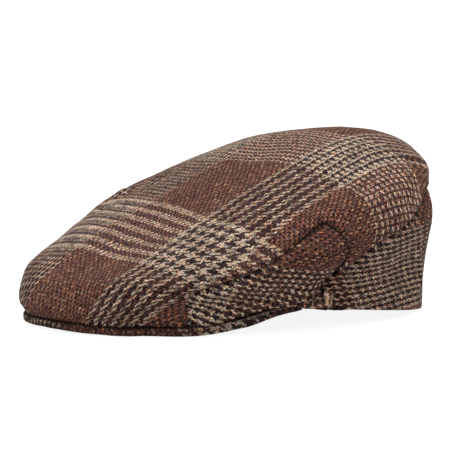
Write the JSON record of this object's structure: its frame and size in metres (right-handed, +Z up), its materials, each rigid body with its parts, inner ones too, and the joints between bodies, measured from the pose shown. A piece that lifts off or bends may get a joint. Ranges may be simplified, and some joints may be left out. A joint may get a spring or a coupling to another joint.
{
  "type": "flat cap",
  "caption": "Flat cap of checked wool cloth: a full, forward-leaning crown over an open head hollow, with a short stiff peak under its front edge.",
  "frame": {"origin": "on the surface that the cap rests on, under the middle of its overall length and width", "axes": "+Z up; -Y to the front, over the peak; +X to the wearer's left"},
  "size_m": [0.2052, 0.2412, 0.101],
  "materials": {
    "checked_wool": "coarse twill wool in rust brown, with cream and dark brown glen check bands",
    "dark_wool": "the same coarse twill wool, in its darker bands"
  },
  "bodies": {
    "root": {"top_panel": "checked_wool", "side_panel_left": "checked_wool", "side_panel_right": "checked_wool", "back_panel": "checked_wool", "peak": "dark_wool"}
  },
  "joints": []
}
